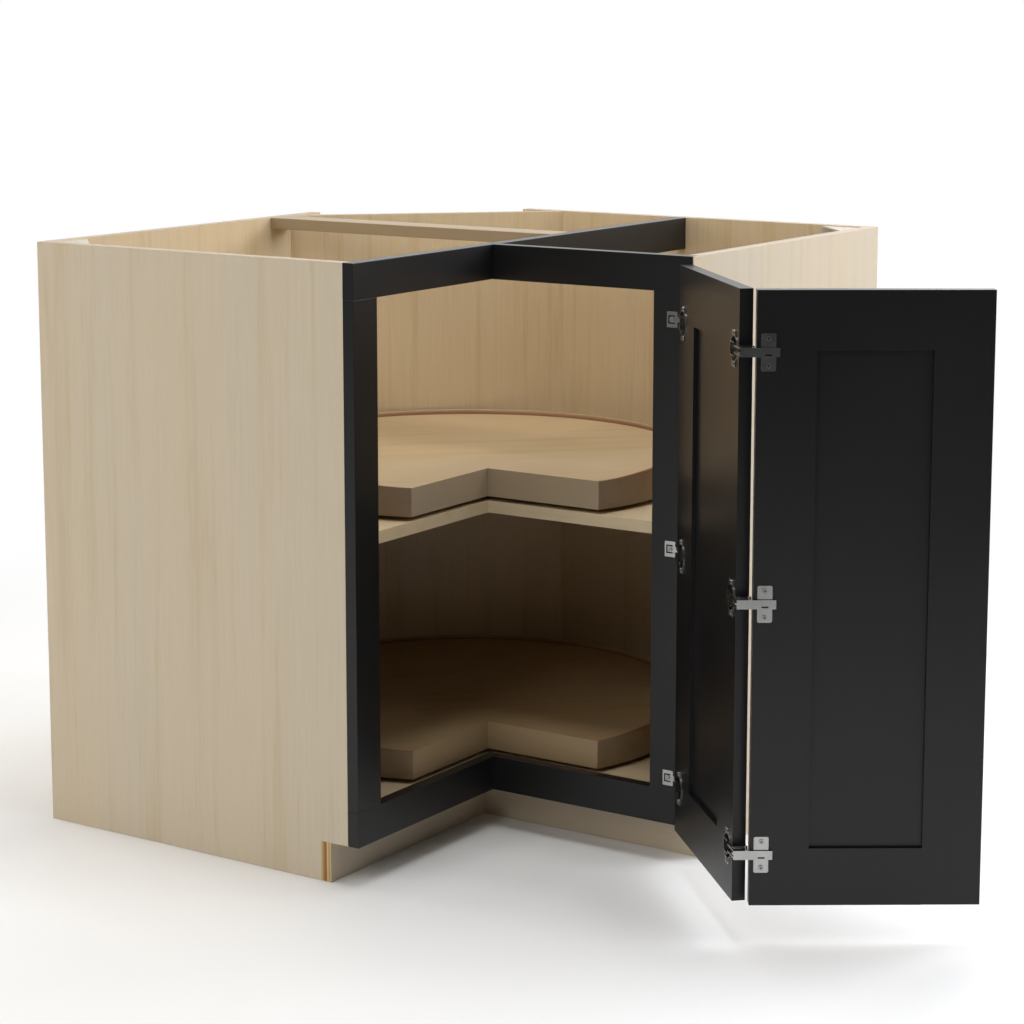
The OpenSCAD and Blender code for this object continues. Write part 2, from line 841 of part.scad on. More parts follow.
module tray_screw_places() {
  for (turn = [0:90:270]) rotate([0, 0, turn]) translate([swivel_screw_r, 0, 0]) children();
}

module swivel_holes(z) {
  translate([tray_pivot, -tray_pivot, z]) base_screw_places() screw_hole();
}

// Half a bearing: a square plate with a raised ring that has a groove for the balls
module swivel_half(turn) {
  difference() {
    union() {
      rotate([0, 0, turn]) translate([-swivel_side / 2, -swivel_side / 2, 0])
        cube([swivel_side, swivel_side, swivel_plate_t]);
      cylinder(h = race_h, r = ball_ring_r + race_w / 2, $fn = round_fn);
    }
    translate([0, 0, swivel_plate_t]) cylinder(h = race_h, r = ball_ring_r - race_w / 2, $fn = round_fn);
    translate([0, 0, -1]) cylinder(h = swivel_h, r = swivel_hole_r, $fn = round_fn);
    rotate_extrude($fn = round_fn) translate([ball_ring_r, swivel_h / 2]) circle(r = groove_r, $fn = small_fn);
    rotate([0, 0, turn]) translate([0, 0, swivel_plate_t])
      base_screw_places() screw_hole(gap = screw_gap);
  }
}

module swivel_base(z) {
  color(steel) at_pivot(z) swivel_half(0);
}

module swivel_top(z) {
  color(steel) at_pivot(z + swivel_h) mirror([0, 0, 1]) swivel_half(45);
}

module swivel_balls(z) {
  color(nickel) at_pivot(z + swivel_h / 2) for (i = [0:ball_count - 1])
    rotate([0, 0, i * 360 / ball_count]) translate([ball_ring_r, 0, 0]) sphere(r = ball_r, $fn = 24);
}

module base_screws(z) {
  color(steel) at_pivot(z) base_screw_places(swivel_plate_t) wood_screw();
}

module tray_screws(z) {
  color(steel) at_pivot(z + swivel_h - swivel_plate_t) tray_screw_places()
    rotate([180, 0, 0]) wood_screw();
}

module upper_swivel_base() { swivel_base(shelf_top); }
module upper_swivel_balls() { swivel_balls(shelf_top); }
module upper_base_screws() { base_screws(shelf_top); }
module upper_swivel_top() { swivel_top(shelf_top); }
module upper_tray_screws() { tray_screws(shelf_top); }
module upper_tray() { color(maple_warm) tray(upper_tray_z); }
module upper_tray_band() { color(maple_warm) tray_band(upper_tray_z); }

module lower_swivel_base() { swivel_base(floor_top); }
module lower_swivel_balls() { swivel_balls(floor_top); }
module lower_base_screws() { base_screws(floor_top); }
module lower_swivel_top() { swivel_top(floor_top); }
module lower_tray_screws() { tray_screws(floor_top); }
module lower_tray() { color(maple_warm) tray(lower_tray_z); }
module lower_tray_band() { color(maple_warm) tray_band(lower_tray_z); }

left_end_panel();
right_end_panel();
right_end_skin();
left_back_panel();
rear_back_panel();
diagonal_back_panel();
bottom_panel();
middle_shelf();
left_toe_board();
right_toe_board();
left_stile();
right_stile();
long_top_rail();
right_top_rail();
left_bottom_rail();
right_bottom_rail();
cross_stretcher();
corner_braces();
brace_screws();
frame_hinge_plates();
frame_plate_screws();
upper_swivel_base();
upper_swivel_balls();
upper_base_screws();
lower_swivel_base();
lower_swivel_balls();
lower_base_screws();
hinged_leaf_outer_stile();
hinged_leaf_inner_stile();
hinged_leaf_top_rail();
hinged_leaf_bottom_rail();
hinged_leaf_panel();
frame_hinge_cups();
frame_hinge_pins();
fold_hinge_cups();
fold_hinge_pins();
hinge_cup_screws();
folding_leaf_outer_stile();
folding_leaf_inner_stile();
folding_leaf_top_rail();
folding_leaf_bottom_rail();
folding_leaf_panel();
fold_hinge_plates();
fold_plate_screws();
upper_tray();
upper_tray_band();
upper_swivel_top();
upper_tray_screws();
lower_tray();
lower_tray_band();
lower_swivel_top();
lower_tray_screws();
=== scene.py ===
import json
import math
import bmesh
import bpy
import numpy as np
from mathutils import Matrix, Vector

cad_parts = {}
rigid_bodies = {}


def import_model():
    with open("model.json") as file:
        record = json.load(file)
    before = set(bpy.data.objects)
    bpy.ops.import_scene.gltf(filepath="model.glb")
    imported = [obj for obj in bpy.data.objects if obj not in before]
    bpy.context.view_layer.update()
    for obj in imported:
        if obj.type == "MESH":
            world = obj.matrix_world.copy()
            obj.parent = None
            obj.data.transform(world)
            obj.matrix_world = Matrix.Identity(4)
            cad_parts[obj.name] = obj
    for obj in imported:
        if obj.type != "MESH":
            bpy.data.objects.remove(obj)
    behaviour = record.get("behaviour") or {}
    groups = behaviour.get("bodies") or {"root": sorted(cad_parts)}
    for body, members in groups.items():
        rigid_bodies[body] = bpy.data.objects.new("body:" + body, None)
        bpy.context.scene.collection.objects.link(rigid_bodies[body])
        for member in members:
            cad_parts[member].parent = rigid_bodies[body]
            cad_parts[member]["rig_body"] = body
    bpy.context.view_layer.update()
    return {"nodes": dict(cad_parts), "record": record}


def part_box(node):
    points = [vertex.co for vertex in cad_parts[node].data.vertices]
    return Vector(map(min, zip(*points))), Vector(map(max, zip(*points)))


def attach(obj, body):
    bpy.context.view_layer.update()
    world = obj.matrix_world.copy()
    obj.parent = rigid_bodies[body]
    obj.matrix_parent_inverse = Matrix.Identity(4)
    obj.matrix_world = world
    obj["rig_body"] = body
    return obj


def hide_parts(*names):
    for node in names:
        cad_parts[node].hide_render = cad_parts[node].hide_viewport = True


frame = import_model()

nodes = frame["nodes"]
print("frame loaded:", len(nodes), "nodes")

# ---------- meshes ----------


def newPiece(name, points, faces, material, body, smooth=False):
    # a mesh from an array of points and a list of faces, riding on one body
    mesh = bpy.data.meshes.new(name)
    mesh.from_pydata(np.asarray(points, float).tolist(), [], [tuple(int(i) for i in f) for f in faces])
    mesh.update()
    mesh.polygons.foreach_set("use_smooth", np.full(len(mesh.polygons), smooth))
    mesh.materials.append(material)
    piece = bpy.data.objects.new(name, mesh)
    bpy.context.scene.collection.objects.link(piece)
    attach(piece, body)
    return piece


def mergedForm(nodeName):
    # the node's triangles with equal corners joined: unique rows of the rounded coordinates
    mesh = nodes[nodeName].data
    co = np.empty(len(mesh.vertices) * 3)
    mesh.vertices.foreach_get("co", co)
    mesh.calc_loop_triangles()
    tris = np.empty(len(mesh.loop_triangles) * 3, np.int64)
    mesh.loop_triangles.foreach_get("vertices", tris)
    points, back = np.unique(np.round(co.reshape(-1, 3), 6), axis=0, return_inverse=True)
    tris = back.ravel()[tris].reshape(-1, 3)
    whole = (tris[:, 0] != tris[:, 1]) & (tris[:, 1] != tris[:, 2]) & (tris[:, 2] != tris[:, 0])
    return points, tris[whole]


def noSeam(points):
    return np.full(len(points), -1)


# edges sharper than this angle, in degrees, are rounded over in this many steps
rounding = {"angle": 35, "steps": 2}


def easedForm(nodeName, material, ease, seamOf=noSeam):
    # the node as it is, with its sharp edges rounded over a little; seamOf numbers the points
    # that lie in a seam, and an edge between two points of one seam stays sharp
    points, tris = mergedForm(nodeName)
    piece = newPiece(nodeName + "_eased", points, tris, material, nodes[nodeName]["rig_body"])
    seam = seamOf(points)
    form = bmesh.new()
    form.from_mesh(piece.data)
    weight = form.edges.layers.float.new("bevel_weight_edge")
    for edge in form.edges:
        first, second = (seam[corner.index] for corner in edge.verts)
        inSeam = first >= 0 and first == second
        isSharp = len(edge.link_faces) == 2 and edge.calc_face_angle() > math.radians(rounding["angle"])
        if isSharp and not inSeam:
            edge[weight] = 1.0
    form.to_mesh(piece.data)
    form.free()
    bevel = piece.modifiers.new("ease", "BEVEL")
    bevel.width, bevel.segments, bevel.limit_method = ease, rounding["steps"], "WEIGHT"
    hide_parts(nodeName)
    return piece


# ---------- materials ----------


class Graph:
    # a short way to write a material's node tree; apart from node and vector, which give the whole
    # node, each call gives the socket that it ends in
    def __init__(self, name):
        self.material = bpy.data.materials.new(name)
        self.material.use_nodes = True
        self.tree = self.material.node_tree
        self.shader = self.tree.nodes["Principled BSDF"]
        coordinates = self.tree.nodes.new("ShaderNodeTexCoord").outputs
        self.place, self.facing = coordinates["Object"], coordinates["Normal"]

    def node(self, kind, inputs=(), **settings):
        made = self.tree.nodes.new(kind)
        for key, value in settings.items():
            setattr(made, key, value)
        for key, value in dict(inputs).items():
            if isinstance(value, bpy.types.NodeSocket):
                self.tree.links.new(value, made.inputs[key])
            else:
                made.inputs[key].default_value = value
        return made

    def turned(self, degrees):
        # the place turned in plan, so that a grain can run across a board at an angle
        return self.node("ShaderNodeMapping", {0: self.place, 2: (0, 0, math.radians(-degrees))}).outputs[0]

    def stretched(self, scale, shift=(0, 0, 0), place=None):
        return self.node("ShaderNodeMapping", {0: place or self.place, 1: shift, 3: scale}).outputs[0]

    def noise(self, place, scale, detail=2.0, rough=0.5, warp=0.0):
        made = self.node("ShaderNodeTexNoise", {"Vector": place, "Scale": scale, "Detail": detail,
                                                "Roughness": rough, "Distortion": warp})
        return made.outputs[0]

    def part(self, vector, axis):
        return self.node("ShaderNodeSeparateXYZ", {0: vector}).outputs["xyz".index(axis)]

    def span(self, value, low, high, newLow=0.0, newHigh=1.0):
        # value from low to high carried to newLow to newHigh, with soft ends
        return self.node("ShaderNodeMapRange", {0: value, 1: low, 2: high, 3: newLow, 4: newHigh},
                         interpolation_type="SMOOTHSTEP").outputs[0]

    def ramp(self, value, stops):
        made = self.node("ShaderNodeValToRGB", {0: value})
        marks = made.color_ramp.elements
        for mark, (position, tone) in ((marks[0], stops[0]), (marks[1], stops[-1])):
            mark.position, mark.color = position, rgba(tone)
        for position, tone in stops[1:-1]:
            marks.new(position).color = rgba(tone)
        return made.outputs[0]

    def blend(self, share, low, high, how="MIX"):
        made = self.node("ShaderNodeMix", data_type="RGBA", blend_type=how)
        for socket, value in ((made.inputs[0], share), (made.inputs[6], low), (made.inputs[7], high)):
            if isinstance(value, bpy.types.NodeSocket):
                self.tree.links.new(value, socket)
            else:
                socket.default_value = value if isinstance(value, float) else rgba(value)
        return made.outputs[2]

    def maths(self, how, first, second=0.0, third=0.0):
        return self.node("ShaderNodeMath", {0: first, 1: second, 2: third}, operation=how).outputs[0]

    def vector(self, how, first, second=(0, 0, 0)):
        return self.node("ShaderNodeVectorMath", {0: first, 1: second}, operation=how)

    def bump(self, height, strength, distance):
        return self.node("ShaderNodeBump", {"Height": height, "Strength": strength,
                                            "Distance": distance}).outputs[0]

    def finish(self, **sockets):
        for key, value in sockets.items():
            name = key.replace("_", " ")
            if isinstance(value, bpy.types.NodeSocket):
                self.tree.links.new(value, self.shader.inputs[name])
            else:
                self.shader.inputs[name].default_value = value
        return self.material


def rgba(tone):
    # a tone written as one sRGB number or three, from 0 to 255, as linear colour
    levels = np.broadcast_to(np.asarray(tone, float), 3) / 255
    linear = np.where(levels <= 0.04045, levels / 12.92, ((levels + 0.055) / 1.055) ** 2.4)
    return (*linear.tolist(), 1.0)


def shifted(tone, change):
    return tuple(t + c for t, c in zip(tone, change))


# Veneer: how many bands, streaks, dashes and pores lie in a metre across the grain and how much
# each stretches along it; the share of the noise over which each comes in; how far each moves
# the tone, in sRGB levels; and the relief, with its depth in metres
veneer = {
    "bands": (6.0, 0.06), "streaks": (40.0, 0.035), "dashes": (95.0, 0.075), "pores": (320.0, 0.03),
    "bandFrom": (0.35, 0.65), "streakFrom": (0.5, 0.74), "dashFrom": (0.52, 0.72),
    "dashWhere": (0.44, 0.62),
    "bandChange": (3, -1, -5), "streakChange": (-6, -9, -15), "dashChange": (-7, -10, -16),
    "poreFrom": [(0.38, 255), (0.7, 214)], "poreDepth": 0.12, "reliefDepth": 0.0003,
}


def woodColour(g, grain, tone, shift, contrast=1.0, degrees=0.0):
    # broad bands along the grain, over them soft streaks, short dashes in the streaks, and fine pores
    place = g.turned(degrees) if degrees else g.place

    def figure(name, detail, rough):
        across, along = veneer[name]
        scale = [across if axis != grain else across * along for axis in "xyz"]
        return g.noise(g.stretched(scale, shift, place), 1.0, detail, rough)

    bands, streaks = figure("bands", 2, 0.5), figure("streaks", 3, 0.55)
    dashes, pores = figure("dashes", 3, 0.6), figure("pores", 3, 0.6)
    colour = g.blend(g.span(bands, *veneer["bandFrom"]), tone, shifted(tone, veneer["bandChange"]))
    streak = g.maths("MULTIPLY", g.span(streaks, *veneer["streakFrom"]), contrast)
    colour = g.blend(streak, colour, shifted(tone, veneer["streakChange"]))
    inStreak = g.maths("MULTIPLY", g.span(streaks, *veneer["dashWhere"]), contrast)
    dash = g.maths("MULTIPLY", g.span(dashes, *veneer["dashFrom"]), inStreak)
    colour = g.blend(dash, colour, shifted(tone, veneer["dashChange"]))
    fleck = g.ramp(pores, veneer["poreFrom"])
    return g.blend(veneer["poreDepth"] * contrast, colour, fleck, "MULTIPLY"), streaks, pores


def woodRelief(g, streaks, pores, poreShare=0.5, strength=0.1):
    return g.bump(g.maths("MULTIPLY_ADD", pores, poreShare, streaks), strength, veneer["reliefDepth"])


def woodMaterial(name, grain, tone, shift, contrast=1.0):
    # veneer all round, but on an upright board the top edge is a duller, darker band: painted shade on the
    # faces that look up, so that they catch less of the light from above
    g = Graph(name)
    colour, streaks, pores = woodColour(g, grain, tone, shift, contrast)
    if grain == "z":
        # painted shade: faces that look up take the darker top edge tone
        colour = g.blend(g.span(g.part(g.facing, "z"), 0.6, 0.9), colour, tones["topEdgeShade"])
    return g.finish(Base_Color=colour, Roughness=g.maths("MULTIPLY_ADD", streaks, 0.16, 0.38),
                    Normal=woodRelief(g, streaks, pores), Specular_IOR_Level=0.45)


# the plies of a sawn end, from one face of the board through to the other
plies = [(0.0, (196, 168, 118)), (0.2, (190, 158, 104)), (0.3, (150, 106, 58)), (0.4, (166, 122, 70)),
         (0.46, (140, 96, 50)), (0.58, (150, 106, 58)), (0.64, (212, 184, 132)), (0.74, (206, 176, 122)),
         (0.82, (170, 134, 80)), (1.0, (204, 182, 140))]


def plyEndMaterial(nodeName, grain, across, tone, shift):
    # veneer on the faces, and on the sawn end the plies, a little wavy, across the board's thickness
    g = Graph(nodeName)
    colour, streaks, pores = woodColour(g, grain, tone, shift)
    low, high = (corner["xyz".index(across)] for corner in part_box(nodeName))
    through = g.maths("MULTIPLY", g.maths("SUBTRACT", g.part(g.place, across), low), 1 / (high - low))
    wander = g.maths("MULTIPLY_ADD", g.noise(g.stretched((1, 1, 0.2)), 160, 2), 0.06, through)
    sawn = g.span(g.maths("ABSOLUTE", g.part(g.facing, grain)), 0.7, 0.9)
    return g.finish(Base_Color=g.blend(sawn, colour, g.ramp(wander, plies)), Roughness=0.5,
                    Normal=woodRelief(g, streaks, pores), Specular_IOR_Level=0.4)


def trayMaterial(name, toneName, shift):
    # weak printed grain across the notch on the top and underside, and plain upright faces
    g = Graph(name)
    edgeTone = tones[toneName + "Edge"]
    colour, streaks, pores = woodColour(g, "x", tones[toneName], shift, contrast=0.75, degrees=45)
    cloud = g.noise(g.stretched((1, 1, 0.4)), 9, 2)
    edge = g.blend(cloud, shifted(edgeTone, (-5, -5, -5)), shifted(edgeTone, (5, 4, 2)))
    upright = g.span(g.maths("ABSOLUTE", g.part(g.facing, "z")), 0.75, 0.35)
    return g.finish(Base_Color=g.blend(upright, colour, edge),
                    Roughness=g.maths("MULTIPLY_ADD", streaks, 0.14, 0.42),
                    Normal=woodRelief(g, streaks, pores, 0.4, 0.08), Specular_IOR_Level=0.4)


def paintMaterial(name, tone, rough, shine):
    # satin paint: a faint drift of tone and gloss, and a fine sprayed texture
    g = Graph(name)
    drift = g.noise(g.place, 4, 2)
    colour = g.blend(drift, tuple(0.92 * t for t in tone), tuple(1.08 * t for t in tone))
    spray = g.noise(g.place, 900, 2, 0.6)
    return g.finish(Base_Color=colour, Roughness=g.maths("MULTIPLY_ADD", drift, 0.1, rough - 0.05),
                    Normal=g.bump(spray, 0.06, 0.0003), Specular_IOR_Level=shine)


def metalMaterial(name, tone, rough):
    # plated sheet: a cloudy tone, fine brushing along the height, and dullness in patches
    g = Graph(name)
    place = g.stretched((1, 1, 0.16))
    cloud = g.noise(place, 60, 3)
    lines = g.noise(place, 1400, 3, 0.7)
    colour = g.blend(cloud, tuple(0.86 * t for t in tone), tone)
    return g.finish(Base_Color=colour, Metallic=1.0, Normal=g.bump(lines, 0.05, 0.0002),
                    Roughness=g.maths("MULTIPLY_ADD", lines, 0.16, rough - 0.08))


# tones of the maple veneer and of the trays' printed boards, in sRGB levels
tones = {
    # the top edge tone is painted shade, darker and greyer than the veneer
    "outer": (203, 190, 168), "inner": (210, 191, 158), "topEdgeShade": (176, 160, 140),
    # painted shade: the stretcher's and the left toe board's tones are darker copies of the maple, standing
    # in for shade that falls on them
    "stretcher": (160, 143, 117), "toeBoardShaded": (199, 185, 163),
    "upperTray": (184, 163, 129), "upperTrayEdge": (163, 145, 121), "upperTrayBand": (136, 120, 102),
    "lowerTray": (164, 140, 106), "lowerTrayEdge": (172, 148, 114), "lowerTrayBand": (154, 132, 106),
}
# each board's grain, its place in the figure, and more or less contrast where the wood has it
woods = {
    "left_end_panel": woodMaterial("mapleLeftEnd", "z", tones["outer"], (0.3, 1.1, 0.2)),
    "right_end_panel": woodMaterial("mapleRightEnd", "z", tones["inner"], (2.3, 0.4, 1.2)),
    "right_end_skin": woodMaterial("mapleRightSkin", "z", tones["outer"], (5.3, 0.1, 0.7), 0.7),
    "left_back_panel": woodMaterial("mapleLeftBack", "z", tones["inner"], (0.9, 3.1, 2.2), 1.5),
    "rear_back_panel": woodMaterial("mapleRearBack", "z", tones["inner"], (4.1, 2.2, 0.6), 1.5),
    "diagonal_back_panel": woodMaterial("mapleDiagonal", "z", tones["inner"], (1.7, 5.2, 3.1), 1.5),
    "cross_stretcher": woodMaterial("shadedMapleStretcher", "x", tones["stretcher"], (3.1, 0.6, 4.2)),
    "bottom_panel": woodMaterial("mapleFloor", "x", tones["inner"], (2.6, 6.2, 1.3)),
    "middle_shelf": woodMaterial("mapleShelf", "x", tones["inner"], (6.1, 1.4, 2.9)),
    "left_toe_board": plyEndMaterial("left_toe_board", "y", "x", tones["toeBoardShaded"], (0.2, 4.4, 5.1)),
    "right_toe_board": woodMaterial("toeRight", "x", tones["outer"], (7.7, 0.4, 1.1)),
}
trayWoods = {
    "upper_tray": trayMaterial("upperTrayBoard", "upperTray", (1.2, 0.3, 8.1)),
    "lower_tray": trayMaterial("lowerTrayBoard", "lowerTray", (3.4, 2.3, 6.1)),
    "upper_tray_band": woodMaterial("upperTrayBand", "x", tones["upperTrayBand"], (1.2, 4.3, 8.1)),
    "lower_tray_band": woodMaterial("lowerTrayBand", "x", tones["lowerTrayBand"], (3.4, 5.3, 6.1)),
}
# tone, roughness and, apart from metal, the strength of the shine
finishes = {
    "satinBlack": ((23, 23, 24), 0.33, 0.36), "whitePlastic": ((188, 180, 169), 0.45, 0.5),
    # the dark recess finish is painted shade for slots and screw crosses
    "paintedRecessShade": ((17, 17, 18), 0.6, 0.15),
    "nickelPlate": ((184, 184, 182), 0.22), "zincPlate": ((172, 172, 171), 0.28),
}
blackPaint, whitePlastic, paintedRecessShade = (paintMaterial(name, *finishes[name])
                                        for name in ("satinBlack", "whitePlastic", "paintedRecessShade"))
nickelPlate, zincPlate = (metalMaterial(name, *finishes[name]) for name in ("nickelPlate", "zincPlate"))
print("materials made")

# ---------- boards, leaves and trays ----------

# width of the rounded edges, and how near a point lies to a seam that it is in, in metres
ease = {"board": 0.0007, "skin": 0.0003, "frame": 0.0006, "leaf": 0.0006, "tray": 0.0012,
        "band": 0.0003, "metal": 0.00018}
near = {"leafSeam": 0.00003, "rimSeam": 0.0001}

for nodeName, material in woods.items():
    easedForm(nodeName, material, ease["skin" if nodeName.endswith("skin") else "board"])
for nodeName in [n for n in nodes if n.endswith(("_stile", "_rail")) and "leaf" not in n]:
    easedForm(nodeName, blackPaint, ease["frame"])


def leafSeams(leafName):
    # numbers the points in a leaf's two upright seams, where its rails meet its stiles; along is
    # the leaf's width, the first right singular vector of the panel's plan
    plan = mergedForm(leafName + "_panel")[0][:, :2]
    middle = (plan.max(axis=0) + plan.min(axis=0)) / 2
    along = np.linalg.svd(plan - middle)[2][0]
    stile = (mergedForm(leafName + "_outer_stile")[0][:, :2] - middle) @ along
    seamAt = np.abs(stile).min()

    def seamOf(points):
        across = (points[:, :2] - middle) @ along
        return np.where(np.abs(np.abs(across) - seamAt) < near["leafSeam"], np.sign(across) + 1, -1)
    return seamOf


for leafName in ("hinged_leaf", "folding_leaf"):
    seamOf = leafSeams(leafName)
    for nodeName in [n for n in nodes if n.startswith(leafName)]:
        easedForm(nodeName, blackPaint, ease["leaf"], seamOf)
print("boards and leaves eased")


turn = next(j for j in frame["record"]["behaviour"]["joints"] if j["name"] == "upper_tray_turn")
pivot = np.array(turn["pos_m"][:2])
rim = np.hypot(*(mergedForm("upper_tray")[0][:, :2] - pivot).T).max()


def rimSeam(points):
    # the joint between a tray and its edge band: all points at the board's own radius
    return np.where(np.abs(np.hypot(*(points[:, :2] - pivot).T) - rim) < near["rimSeam"], 0, -1)


for nodeName, material in trayWoods.items():
    easedForm(nodeName, material, ease["band" if nodeName.endswith("band") else "tray"], rimSeam)
print("trays eased")


# the lip's height and width, the angle over which it rises from nothing, how far it stands inside
# the band, sinks into it and stays off its ends, how full its section is, and its two tones: a reddish
# brown darkened as painted shade at the foot, and a paler tone as a painted highlight at the crest
lip = {
    "high": 0.0078, "least": 0.0002, "wide": 0.0032, "rise": 28.0, "inside": 0.00015, "sink": 0.0003,
    "endGap": 0.0005, "fullness": 0.6, "stations": 241, "sectionPoints": 11,
    "foot": (146, 108, 82), "shadedFootHigh": 0.001, "litCrest": (176, 146, 114),
}


def lipMaterial(name, deck):
    # reddish and darker at the foot of the lip, painted shade where it meets the deck, and paler towards
    # its crest, a painted highlight where the light catches its top; with a little grain
    g = Graph(name)
    risen = g.span(g.part(g.place, "z"), deck + lip["shadedFootHigh"], deck + lip["high"])
    # painted shade at the foot and painted highlight at the crest, by height above the deck
    colour = g.blend(risen, lip["foot"], lip["litCrest"])
    grain = g.noise(g.stretched((1, 1, 6)), 30, 3, 0.6)
    return g.finish(Base_Color=g.blend(0.2, colour, g.ramp(grain, [(0.35, 255), (0.7, 205)]), "MULTIPLY"),
                    Roughness=0.45, Normal=g.bump(grain, 0.08, 0.0002), Specular_IOR_Level=0.4)


def rimLip(trayName):
    # the bent edge that stands a little above the tray all round its rim, and runs out at the
    # notch: r = middle + half cos t, z = deck + rise(a) sin(t) ** fullness, for t from 0 to pi,
    # along the arc a of the band
    band = mergedForm(trayName + "_band")[0]
    outer, deck = np.hypot(*(band[:, :2] - pivot).T).max(), float(band[:, 2].max())
    angles = np.sort(np.arctan2(*(band[:, 1::-1] - pivot[::-1]).T))
    gaps = np.diff(np.append(angles, angles[0] + 2 * math.pi))
    start, sweep = angles[(gaps.argmax() + 1) % len(angles)], 2 * math.pi - gaps.max()
    along = np.linspace(lip["endGap"], sweep - lip["endGap"], lip["stations"])[:, None]
    over = np.linspace(0, math.pi, lip["sectionPoints"])
    risen = np.clip(np.minimum(along, sweep - along) / math.radians(lip["rise"]), 0, 1)
    height = lip["least"] + (lip["high"] - lip["least"]) * risen ** 2 * (3 - 2 * risen)
    half = lip["wide"] / 2
    radius = outer - half - lip["inside"] + half * np.cos(over) + 0 * along
    z = deck + height * np.sin(over) ** lip["fullness"]
    foot = np.full_like(along, deck - lip["sink"])
    radius, z = np.hstack([radius[:, :1], radius, radius[:, -1:]]), np.hstack([foot, z, foot])
    angle = start + along
    grid = np.stack([pivot[0] + radius * np.cos(angle), pivot[1] + radius * np.sin(angle), z], -1)
    rows, columns = grid.shape[:2]
    row, column = np.meshgrid(np.arange(rows - 1), np.arange(columns), indexing="ij")
    here, after = row * columns + column, row * columns + (column + 1) % columns
    quads = np.stack([here, here + columns, after + columns, after], -1).reshape(-1, 4)
    ends = [list(range(columns)), list(range((rows - 1) * columns, rows * columns))[::-1]]
    material = lipMaterial(trayName + "Lip", deck)
    body = nodes[trayName]["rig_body"]
    piece = newPiece(trayName + "_lip", grid.reshape(-1, 3), quads.tolist() + ends, material, body, True)


for trayName in ("upper_tray", "lower_tray"):
    rimLip(trayName)
print("rim lips made")

# ---------- metal and plastic ----------

for nodeName in [n for n in nodes if n.startswith(("frame_hinge", "fold_hinge"))]:
    if not nodeName.endswith("pins"):
        easedForm(nodeName, nickelPlate, ease["metal"])
for nodeName, thing in nodes.items():
    if nodeName + "_eased" not in bpy.data.objects:
        thing.data.materials.clear()
        thing.data.materials.append(whitePlastic if nodeName == "corner_braces" else zincPlate)
print("hinges eased")

# painted shade: thin dark strips laid where the light doesn't reach, in the slot round each base plate's
# screw, the slot in each fold arm and the cross in each of its screws. Sizes are half lengths and half
# widths in metres, apart from slotEnd, which is the reach of the slot's open side
recess = {"slotOut": 0.0060, "slotIn": 0.0041, "slotEnd": 0.0044, "arm": (0.0045, 0.0010),
          "cross": (0.0018, 0.0004), "proud": 0.00006, "deep": 0.0002}
# where the recesses lie: the gap in height that parts hinges, and screws; how far a plate's flat
# reaches from its screw; how far an arm's near end and its whole lie from the screws; how level its
# face is; and how high its slot stands, as a share of the arm's height
search = {"hinges": 0.05, "screws": 0.005, "plate": 0.008, "armNear": 0.014, "armAll": 0.02,
          "level": 0.00002, "slotHigh": 0.22}
upward = np.array([0, 0, 1.0])


def clusters(nodeName, gap):
    # the node's points in groups up the height, parted where z jumps by more than gap
    points = mergedForm(nodeName)[0]
    heights = np.unique(points[:, 2])
    number = np.append(0, np.cumsum(np.diff(heights) > gap))
    group = number[np.searchsorted(heights, points[:, 2])]
    return [points[group == k] for k in range(number[-1] + 1)]


def strip(left, right, out):
    # a flat bar between two lines of points: each station is left and right, raised along out by
    # proud and sunk by deep, and each pair of stations is joined by four sides
    left, right, out = (np.asarray(v, float) for v in (left, right, out))
    up, down = out * recess["proud"], -out * recess["deep"]
    stations = np.stack([left + up, right + up, right + down, left + down], 1)
    station, corner = np.meshgrid(np.arange(len(left) - 1), np.arange(4), indexing="ij")
    here, after = station * 4 + corner, station * 4 + (corner + 1) % 4
    sides = np.stack([here, after, after + 4, here + 4], -1).reshape(-1, 4)
    ends = [[3, 2, 1, 0], [len(left) * 4 - 4 + k for k in range(4)]]
    return stations.reshape(-1, 3), sides.tolist() + ends


def bar(middle, along, across, size, out):
    ends = middle + np.outer([-size[0], size[0]], along)
    return strip(ends - across * size[1], ends + across * size[1], out)


def paintedShadeStrips(name, strips, body):
    # all of one body's painted shade strips as one mesh, with its faces turned outwards
    starts = np.cumsum([0] + [len(points) for points, _ in strips])
    faces = [[int(start) + k for k in face] for start, (_, part) in zip(starts, strips) for face in part]
    piece = newPiece(name, np.vstack([points for points, _ in strips]), faces, paintedRecessShade, body)
    form = bmesh.new()
    form.from_mesh(piece.data)
    bmesh.ops.recalc_face_normals(form, faces=form.faces)
    form.to_mesh(piece.data)
    form.free()


def hingesOf(kind):
    # the screws and the plates of one kind of hinge, height by height
    gap = search["hinges"]
    return zip(clusters(kind + "_plate_screws", gap), clusters(kind + "_hinge_plates", gap))


def plateSlotShade():
    # painted shade: a dark strip round three sides of each base plate's screw, where the slot lies in the
    # plate's front
    for screw, plate in hingesOf("frame"):
        x, z = ((screw.min(axis=0) + screw.max(axis=0)) / 2)[[0, 2]]
        front = plate[plate[:, 0] < x + search["plate"], 1].min()
        end = recess["slotEnd"]
        lines = [np.array([[end, -half], [-half, -half], [-half, half], [end, half]])
                 for half in (recess["slotOut"], recess["slotIn"])]
        outer, inner = (np.stack([x + line[:, 0], np.full(4, front), z + line[:, 1]], 1) for line in lines)
        yield strip(outer, inner, (0, -1, 0))


